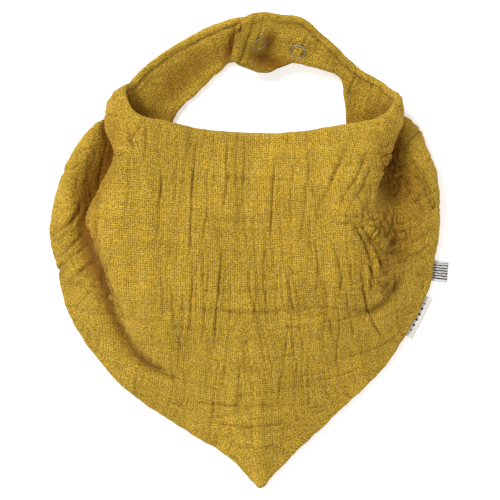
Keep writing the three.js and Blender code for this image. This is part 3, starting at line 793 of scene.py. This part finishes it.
def ribbon_weave(n, uv, out):
    """Fine rib of a woven ribbon, and fuzz."""
    rib = n.math("ABSOLUTE", n.math("SINE", n.math("MULTIPLY", out, math.pi / 0.45)))
    fuzz = n.noise(n.scaled(uv, (3, 3, 1)), 1.0, 2.0)
    return rib, fuzz


def tag_material():
    """Off-white ribbon with fine wavy black stripes along it."""
    n = Nodes("striped_ribbon")
    uv, out, across = n.uv()
    rib, fuzz = ribbon_weave(n, uv, out)
    wobble = n.noise(n.scaled(uv, (0.7, 0.4, 1)), 1.0, 2.0)
    place = n.math("ADD", across, n.math("MULTIPLY_ADD", wobble, 1.5, -0.75))
    stripe_pitch, striped_half = 1.55, 4.9
    wave = n.math("SINE", n.math("MULTIPLY", place, 2 * math.pi / stripe_pitch))
    inside = n.math("LESS_THAN", n.math("ABSOLUTE", across), striped_half)
    stripe = n.math("MULTIPLY", n.ramp(wave, -0.25, 0.15), inside)
    paper = n.mix(fuzz, (0.62, 0.6, 0.54, 1), (0.86, 0.85, 0.8, 1))
    n.set("Base Color", n.mix(stripe, paper, (0.018, 0.018, 0.02, 1)))
    n.set("Roughness", 0.8)
    n.bump(n.math("ADD", rib, fuzz), 0.00012)
    return n.material


def label_material():
    """Off-white woven label with a plain row of small dark diamonds."""
    n = Nodes("label_cloth")
    uv, out, across = n.uv()
    rib, fuzz = ribbon_weave(n, uv, out)
    pitch, row_out, row_half = 3.6, 2.9, 9.0
    from_row = n.math("ABSOLUTE", n.math("SUBTRACT", out, row_out))
    step = n.math("FLOORED_MODULO", across, pitch)
    from_middle = n.math("ABSOLUTE", n.math("SUBTRACT", step, pitch / 2))
    diamond = n.math("LESS_THAN", n.math("ADD", from_row, from_middle), 1.0)
    inside = n.math("LESS_THAN", n.math("ABSOLUTE", across), row_half)
    cloth = n.mix(fuzz, (0.72, 0.7, 0.63, 1), (0.9, 0.89, 0.84, 1))
    mark = n.math("MULTIPLY", diamond, inside)
    n.set("Base Color", n.mix(mark, cloth, (0.05, 0.045, 0.04, 1)))
    n.set("Roughness", 0.75)
    n.bump(n.math("ADD", rib, fuzz), 0.0001)
    return n.material


# ---------------------------------------------------------------- meshes

def new_mesh(name, points, faces, material):
    """An object from points in millimetres."""
    mesh = bpy.data.meshes.new(name)
    mesh.from_pydata((np.asarray(points) * MM).tolist(), [], [list(map(int, f)) for f in faces])
    mesh.update()
    mesh.shade_smooth()
    mesh.materials.append(material)
    piece = bpy.data.objects.new(name, mesh)
    bpy.context.scene.collection.objects.link(piece)
    return piece


def set_uv(mesh, vertex_uv):
    """Writes one uv for each vertex into the map named pattern, in millimetres."""
    layer = mesh.uv_layers.new(name="pattern")
    loops = np.zeros(len(mesh.loops), np.int32)
    mesh.loops.foreach_get("vertex_index", loops)
    layer.data.foreach_set("uv", np.asarray(vertex_uv, np.float32)[loops].ravel())


def set_attribute(mesh, name, kind, values):
    """Writes one number or one vector for each vertex."""
    attribute = mesh.attributes.new(name, kind, "POINT")
    field = "vector" if kind == "FLOAT_VECTOR" else "value"
    attribute.data.foreach_set(field, np.asarray(values, np.float32))


def edge_distance(grid, open_start, open_end):
    """Distance of each point from the cloth's real edges, and from its neck edge, in millimetres."""
    down = run_length(grid, axis=1)
    distance = np.minimum(down, down[:, -1:] - down)
    run = run_length(grid)
    if not open_start:
        distance = np.minimum(distance, run)
    if not open_end:
        distance = np.minimum(distance, run[-1:] - run)
    return distance, down


def half_thickness(distance):
    """Half of the cloth's thickness: rounded at the edge, and plump where the seam is turned in."""
    rim = np.clip(1 - distance / EDGE_ROUND, 0, 1)
    bead = 0.35 * np.exp(-((distance - 2.6) / 1.8) ** 2)
    return CLOTH_HALF * np.sqrt(1 - rim**2) + bead * (distance > 0)


SNAP_RING = 4.35                         # radius of a snap's ring, to the middle of its wire
SNAP_SHARES = ((0.78, 0.5), (0.54, 0.68))    # along the right strap, and across it
SNAP_PLACES = [
    (RIGHT_ROOT + along * (LAST - RIGHT_ROOT), np.interp(across, STRAP_SHARES, np.arange(POINTS)))
    for along, across in SNAP_SHARES
]


def snap_frame(u, v):
    """Centre of a snap on the cloth's middle surface, and the unit normal on the lining side."""
    near = middle_surface([u - 0.05, u, u + 0.05], [v - 0.05, v, v + 0.05])
    return near[1, 1], -grid_normals(near)[1, 1]


def snap_dent(grid):
    """Height of the lining round the snaps: pressed down under each ring and puffed inside it."""
    height = np.zeros(grid.shape[:2])
    for u, v in SNAP_PLACES:
        centre, _ = snap_frame(u, v)
        radius = np.linalg.norm(grid - centre, axis=-1)
        puff = 0.45 * np.exp(-(radius / 2.6) ** 2)
        height += puff - 0.5 * np.exp(-((radius - SNAP_RING) / 1.1) ** 2)
    return height


# Painted shade where little light reaches, in hollows, and a painted shadow under the overlapping strap
# end: middle, half size, turn in degrees, darkness.
DARK = (
    ((91, 41), (12, 26), 20, 0.75),
    ((87, 5), (16, 15), -24, 0.45),
    ((81, -16), (8, 14), 10, 0.4),
    ((12.5, 125.5), (4, 5.5), -25, 0.9),
    ((9, 114.5), (10, 5), -8, 0.75),
    ((10, 108), (13, 3.5), -4, 0.5),
    ((21, 112), (9, 4), 12, 0.6),
    ((26, 131), (8, 2.5), -12, 0.3),
    ((-10, 124.3), (2.4, 12), -20, 0.9),
    ((-38, 105), (26, 8), 40, 0.65),
    ((-91.5, 45), (10.5, 29), -22, 0.8),
    ((-93, -4), (7.5, 20), 18, 0.6),
    ((-84, -34), (6, 20), 22, 0.45),
    ((-70, -60), (6, 17), 50, 0.25),
)


def painted_place_shade(middle):
    """Painted shade and shadow of the places in the list above."""
    total = np.zeros(middle.shape[:2])
    for place, half_size, turn, darkness in DARK:
        x, y = turned(middle[..., :2] - SHIFT[:2] - place, turn)
        total += darkness * np.exp(-((x / half_size[0]) ** 2 + (y / half_size[1]) ** 2) ** 1.5)
    return total


def edge_waves(middle, distance):
    """Small waves of the hem, as shifts of the middle surface in millimetres."""
    x, y = middle[..., 0], middle[..., 1]
    near = np.exp(-distance / 5) * np.clip(0.35 + np.linspace(0, 2.5, middle.shape[1]), 0, 1)
    shift = []
    for axis in (0, 1):
        broad = noise(x / 5.5 + axis, y / 5.5 + axis, 51 + axis)
        fine = noise(x / 2.4, y / 2.4, 54 + axis)
        shift.append(0.55 * broad + 0.2 * fine)
    lift = 0.6 * (1 + noise(x / 9, y / 9, 57))
    return np.stack([near * shift[0], near * shift[1], near * lift * 0.5], axis=-1)


def stretch(grid, pattern):
    """1 where the flat pattern keeps the cloth's lengths, 0 where it doesn't."""
    share = np.ones(grid.shape[:2])
    for axis in (0, 1):
        solid = np.linalg.norm(np.gradient(grid, axis=axis), axis=-1)
        flat = np.linalg.norm(np.gradient(pattern, axis=axis), axis=-1)
        longer = np.maximum(np.maximum(flat, solid), 1e-6)
        share = np.minimum(share, np.minimum(flat, solid) / longer)
    return np.clip((share - 0.55) / 0.3, 0, 1)


STRAP_HOLLOWS = 0.45                     # computed hollows are shaded by this share on the straps
LOWEST = 0.02                            # nothing of the cloth comes lower than this


def cloth_grid(first, last, rows, seam):
    """Both faces, pattern and shades of one piece of the band."""
    dense = np.array([0, 0.03, 0.08, 0.15, 0.24, 0.36])    # lines close to an edge
    inner = np.linspace(0.5, HEM - 0.5, rows)
    across = np.concatenate([dense, inner, HEM - dense[::-1]])
    measured = np.array([2.5, 5.0])          # the cells have their length along these lines
    along = even_places(first, last, measured, CELL)
    ends = [0.12, 0.3, 0.55, 0.8]            # added lines at a free end, as shares of a cell
    step = along[1] - along[0]
    if first == 0:
        along = np.concatenate([[0], step * np.array(ends), along[1:]])
    if last == LAST:
        along = np.concatenate([along[:-1], LAST - step * np.array(ends[::-1]), [LAST]])
    middle = middle_surface(along, across)
    distance, down = edge_distance(middle, first > 0, last < LAST)
    middle = middle + edge_waves(middle, distance)
    normal = grid_normals(middle)
    half = half_thickness(distance)
    pattern = pattern_at(along, across)
    inward = np.clip(distance / 3.0, 0.15, 1.0)    # crinkles are lower near the edges
    height, shade = crinkle(pattern, middle[..., :2] - SHIFT[:2], True)
    back, back_shade = crinkle(pattern, middle[..., :2], False)
    height = height * inward
    back = back * inward
    if last == LAST:
        back = back + snap_dent(middle)
    if seam:
        groove = np.exp(-((down - SEAM_INSET) / 0.8) ** 2)
        fade = np.clip((RIGHT_ROOT + 6.5 - along) / 1.5, 0.15, 1)[:, None]
        back = back - 0.8 * fade * groove
        # Painted shade in the seam's groove.
        back_shade = back_shade + 0.7 * fade * groove
    front_face = middle + normal * (half + height)[..., None]
    back_face = middle - normal * (half + back)[..., None]
    for face in (front_face, back_face):
        np.maximum(face[..., 2], LOWEST, out=face[..., 2])
    # Painted shade: the hollows' depth below the cloth around them, weaker on the straps, plus the listed
    # dark places.
    depth_share = STRAP_HOLLOWS if seam else 1
    return {
        "front": front_face,
        "back": back_face,
        "normal": normal,
        "down": down,
        "pattern": pattern,
        "shade": shade,
        "back_shade": back_shade,
        "weave": stretch(middle, pattern),
        "hollow": depth_share * hollow(middle) + painted_place_shade(middle),
    }


def quads(index):
    """Faces of a grid, from the numbers of its points."""
    corners = [index[:-1, :-1], index[:-1, 1:], index[1:, 1:], index[1:, :-1]]
    return np.stack(corners, axis=-1).reshape(-1, 4)


def wall(top, bottom):
    """Faces between two rows of points."""
    return np.stack([top[1:], top[:-1], bottom[:-1], bottom[1:]], axis=-1)


LINING_PATTERN = 400                     # the lining's pattern is taken this far away, so that it differs


def cloth_piece(name, first, last, rows, material, seam=False):
    """A closed cloth mesh whose two faces share their vertices along every real edge."""
    cloth = cloth_grid(first, last, rows, seam)
    count_u, count_v = cloth["front"].shape[:2]
    points = np.concatenate([cloth["front"].reshape(-1, 3), cloth["back"].reshape(-1, 3)])
    index = np.arange(count_u * count_v).reshape(count_u, count_v)
    back_index = index + count_u * count_v
    back_index[:, 0] = index[:, 0]
    back_index[:, -1] = index[:, -1]
    if first == 0:
        back_index[0] = index[0]
    if last == LAST:
        back_index[-1] = index[-1]
    faces = [quads(index), quads(back_index)[:, ::-1]]
    if first > 0:
        faces.append(wall(index[0], back_index[0]))
    if last < LAST:
        faces.append(wall(index[-1, ::-1], back_index[-1, ::-1]))
    faces = np.concatenate(faces)
    used = np.unique(faces)
    renumber = np.zeros(len(points), int)
    renumber[used] = np.arange(len(used))
    faces = [[v for n, v in enumerate(f) if v != f[n - 1]] for f in renumber[faces].tolist()]
    faces = [f for f in faces if len(f) > 2]
    piece = new_mesh(name, points[used], faces, material)
    pattern = cloth["pattern"].reshape(-1, 2)
    uv = np.concatenate([pattern, pattern + LINING_PATTERN])
    set_uv(piece.data, uv[used])
    # The painted shade of creases and of hollows goes into two attributes that darken the colour.
    crease_shade = np.concatenate([cloth["shade"].ravel(), cloth["back_shade"].ravel()])
    set_attribute(piece.data, "crease_shade", "FLOAT", crease_shade[used])
    set_attribute(piece.data, "weave", "FLOAT", np.tile(cloth["weave"].ravel(), 2)[used])
    set_attribute(piece.data, "hollow", "FLOAT", np.tile(cloth["hollow"].ravel(), 2)[used])
    set_attribute(piece.data, "place", "FLOAT_VECTOR", points[used].ravel())
    return piece, cloth


def closed_sheet(name, front, back, material):
    """A thin closed mesh between two grids that meet along all four edges."""
    rows, columns = front.shape[:2]
    points = np.concatenate([front.reshape(-1, 3), back.reshape(-1, 3)])
    index = np.arange(rows * columns).reshape(rows, columns)
    under = index + rows * columns
    faces = [quads(index), quads(under)[:, ::-1]]
    faces += [wall(index[0], under[0]), wall(index[-1, ::-1], under[-1, ::-1])]
    faces += [wall(index[::-1, 0], under[::-1, 0]), wall(index[:, -1], under[:, -1])]
    return new_mesh(name, points, np.concatenate(faces), material)


RIBBON_HALF = 0.18                       # half of the ribbons' thickness


def folded_ribbon(name, node, root, turn, width, reach, material, seed):
    """A ribbon folded in two whose ends are caught in the hem. Out of the hem is its own X axis."""
    profile = np.array([(-0.7, 1.35), (0.15, 1.75), (0.5, 2.0), (0.85, 1.8), (1.0, 1.0),
                        (0.85, 0.42), (0.5, 0.35), (0.15, 0.4), (-0.7, 0.6)])
    profile[1:-1, 0] *= reach
    steps = np.linspace(0, len(profile) - 1, 65)
    across = np.linspace(-width / 2, width / 2, 41)
    line = spline_weights(len(profile), steps) @ profile
    share = np.clip(line[:, 0] / reach, 0, 1)[:, None]
    broad = noise(across / 4.1 + seed, across * 0, seed)
    fine = noise(across / 1.7, across * 0, seed)
    wave = share * (0.35 * broad + 0.12 * fine)
    out = line[:, 0][:, None] + 0.6 * wave
    up = np.maximum(line[:, 1][:, None] + wave * 0.8 * (line[:, 1] > 0.9)[:, None], 0.25)
    side = np.broadcast_to(across, out.shape) * (1 + 0.03 * share)
    c, s = math.cos(math.radians(turn)), math.sin(math.radians(turn))
    middle = np.stack([out * c - side * s, out * s + side * c, up], axis=-1)
    middle = middle + (root[0] + SHIFT[0], root[1] + SHIFT[1], 0)
    normal = grid_normals(middle)
    piece = closed_sheet(name, middle - RIBBON_HALF * normal, middle + RIBBON_HALF * normal, material)
    run = run_length(line)
    uv = np.stack(np.broadcast_arrays(run[:, None], across), axis=-1).reshape(-1, 2)
    set_uv(piece.data, np.tile(uv, (2, 1)))
    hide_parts(node)
    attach(piece, node)
    return piece


def seam_stitches(name, cloth, bare_end, material):
    """Small stitches in the groove of a strap's seam, on the lining side.

    The last bare_end millimetres of the seam have none.
    """
    path = []
    for row, run in zip(cloth["back"], cloth["down"]):
        path.append([np.interp(SEAM_INSET, run, row[:, n]) for n in range(3)])
    path = np.array(path)
    column = np.argmin(np.abs(cloth["down"] - SEAM_INSET), axis=1)
    lining = -cloth["normal"][np.arange(len(path)), column]
    run = run_length(path)
    bare_start, pitch, length, radius = 4, 3.1, 2.3, 0.3
    sides, rings = 8, 7
    turns = np.linspace(0, 2 * math.pi, sides + 1)[:-1]
    points, faces = [], []
    for start in np.arange(bare_start, run[-1] - bare_end, pitch):
        ends = []
        for t in (0, length):
            ends.append(np.array([np.interp(start + t, run, path[:, n]) for n in range(3)]))
        up = np.array([np.interp(start, run, lining[:, n]) for n in range(3)])
        forward = ends[1] - ends[0]
        up -= forward * (up @ forward) / (forward @ forward)
        up /= np.linalg.norm(up)
        aside = np.cross(up, forward / np.linalg.norm(forward))
        base = len(points)
        for t in np.linspace(-0.96, 0.96, rings):
            centre = (ends[0] + ends[1]) / 2 + forward * t / 2 + up * (0.22 * (1 - t * t))
            ring = radius * math.sqrt(1 - t * t * 0.9)
            points += [centre + ring * (math.cos(a) * aside + 0.8 * math.sin(a) * up) for a in turns]
        for k in range(rings - 1):
            for n in range(sides):
                a = base + sides * k + n
                b = base + sides * k + (n + 1) % sides
                faces.append([a, b, b + sides, a + sides])
        last_ring = base + sides * (rings - 1)
        faces.append([base + n for n in reversed(range(sides))])
        faces.append([last_ring + n for n in range(sides)])
    piece = new_mesh(name, np.array(points), faces, material)
    return piece


def revolved(name, node, centre, axis, profile, body, material):
    """A closed profile of (radius, height) points turned about an axis."""
    side = np.cross(axis, (0, 1, 0))
    side /= np.linalg.norm(side)
    other = np.cross(axis, side)
    turns, count = 72, len(profile)
    points, faces = [], []
    for i in range(turns):
        angle = 2 * math.pi * i / turns
        spoke = math.cos(angle) * side + math.sin(angle) * other
        for j, (radius, height) in enumerate(profile):
            points.append(centre + spoke * radius + axis * height)
            a, b = i * count + j, i * count + (j + 1) % count
            c, d = (i + 1) % turns * count + (j + 1) % count, (i + 1) % turns * count + j
            faces.append([a, d, c, b])
    piece = new_mesh(name, np.array(points), faces, material)
    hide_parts(node)
    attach(piece, body)


def wire_profile(height):
    """Round wire of a snap's open ring, at a height above the cloth's middle surface."""
    turns = np.linspace(0, 2 * math.pi, 15)[:-1]
    return [(SNAP_RING + 0.42 * math.cos(t), height + 0.34 * math.sin(t)) for t in turns]


STUD_PROFILE = (
    (0.03, -1.3), (0.03, -3.5), (0.9, -3.75), (1.5, -3.6), (1.75, -3.2), (1.5, -2.7), (1.5, -2.1),
    (4.4, -2.05), (4.75, -1.85), (4.75, -1.5), (4.5, -1.3),
)


def strap_below(centre, axis):
    """Distance from a snap's centre to the left strap's middle surface, straight down its axis."""
    grid = middle_surface(np.linspace(0, 4, 120), np.linspace(0, HEM, 120)).reshape(-1, 3) - centre
    depth = -(grid @ axis)
    aside = np.linalg.norm(grid + depth[:, None] * axis, axis=1)
    return depth[np.argmin(aside)]


BEND_HALF = 10                           # the span across a root reaches this far on each side of its middle


def bend_span(root, outward):
    """Start and end points, in metres, of a span across a strap's root."""
    neck, hem = STATIONS[root][0], STATIONS[root][-1]
    line = (neck - hem) * (1, 1, 0)
    across = np.cross(line, (0, 0, 1))
    across /= np.linalg.norm(across)
    if across @ np.array(outward, float) < 0:
        across = -across
    middle = (neck + hem) / 2
    return (middle - across * BEND_HALF) * MM, (middle + across * BEND_HALF) * MM


# ---------------------------------------------------------------- build

make_camera()
make_floor()
make_light()

gauze = gauze_material()
thread = thread_material()
metal = snap_material()
striped = tag_material()
label_cloth = label_material()

front, front_grid = cloth_piece("bib_front_cloth", LEFT_CUT, RIGHT_CUT, 200, gauze)
left_strap, left_grid = cloth_piece("left_strap_cloth", 0, LEFT_CUT, 34, gauze, seam=True)
right_strap, right_grid = cloth_piece("right_strap_cloth", RIGHT_CUT, LAST, 34, gauze, seam=True)

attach(front, "front")
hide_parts("front_outer", "front_lining")
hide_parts("left_strap_outer", "left_strap_lining", "left_snap_patch")
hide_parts("right_strap_outer", "right_strap_lining", "right_snap_patch")

left_bend = bend_span(LEFT_ROOT, (1, 1, 0))
right_bend = bend_span(RIGHT_ROOT, (-1, 1, 0))
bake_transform(left_strap)
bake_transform(right_strap)

left_seam = seam_stitches("left_strap_stitches", left_grid, 4, thread)
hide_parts("left_strap_stitching")
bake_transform(left_seam)
right_seam = seam_stitches("right_strap_stitches", right_grid, 46, thread)
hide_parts("right_strap_stitching")
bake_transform(right_seam)

for number, (u, v) in enumerate(SNAP_PLACES, 1):
    centre, axis = snap_frame(u, v)
    ring = wire_profile(1.45)
    ring_node, stud_node = f"right_snap_ring_{number}", f"right_snap_stud_{number}"
    revolved(f"right_ring_{number}", ring_node, centre, axis, ring, "right_strap", metal)
    revolved(f"right_stud_{number}", stud_node, centre, axis, STUD_PROFILE, "right_strap", metal)

centre, axis = snap_frame(*SNAP_PLACES[0])
below = strap_below(centre, axis)
socket_profile = (
    (1.9, -2.4), (1.9, -3.9), (1.7, 1.3 - below), (4.4, 1.3 - below), (4.75, 1.55 - below),
    (4.75, -2.7), (4.4, -2.4),
)
ring = wire_profile(-1.45 - below)
revolved("left_socket", "left_snap_socket", centre, axis, socket_profile, "left_strap", metal)
revolved("left_ring", "left_snap_ring", centre, axis, ring, "left_strap", metal)

tag = folded_ribbon("striped_tag", "loop_tag", (111.6, -13.4), -5, 12.4, 8.4, striped, 5)
label = folded_ribbon("plain_label", "woven_label", (100.2, -40.2), -27, 26.6, 5.1, label_cloth, 9)
